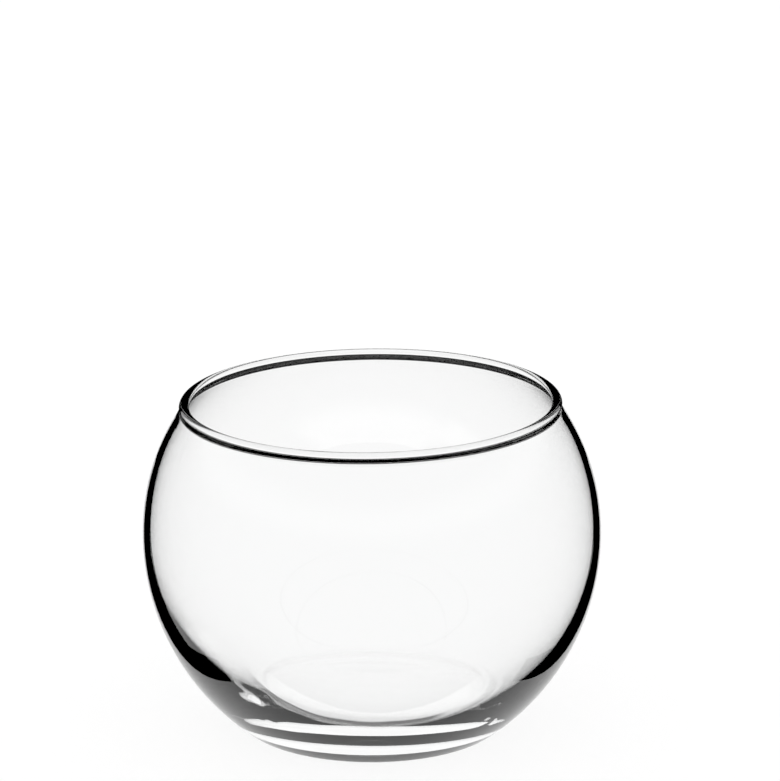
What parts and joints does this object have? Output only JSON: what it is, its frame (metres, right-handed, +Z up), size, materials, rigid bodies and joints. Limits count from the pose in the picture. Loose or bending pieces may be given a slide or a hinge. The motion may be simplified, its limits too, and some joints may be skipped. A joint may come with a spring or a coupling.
{
  "type": "rose bowl vase",
  "caption": "Clear glass rose bowl: a round belly drawn in to a wide beaded mouth, with a thick floor on a flat ring, for short-stemmed flowers.",
  "frame": {"origin": "on the bowl's axis, at the table that its bearing ring stands on", "axes": "+Z up along the bowl's axis, out of the mouth; +X to the right and +Y away from the viewer in the picture's view"},
  "size_m": [0.114, 0.114, 0.0845],
  "materials": {
    "clear_glass": "clear, colourless, fire-polished soda-lime glass"
  },
  "bodies": {
    "root": {"glass_bowl": "clear_glass"}
  },
  "joints": []
}
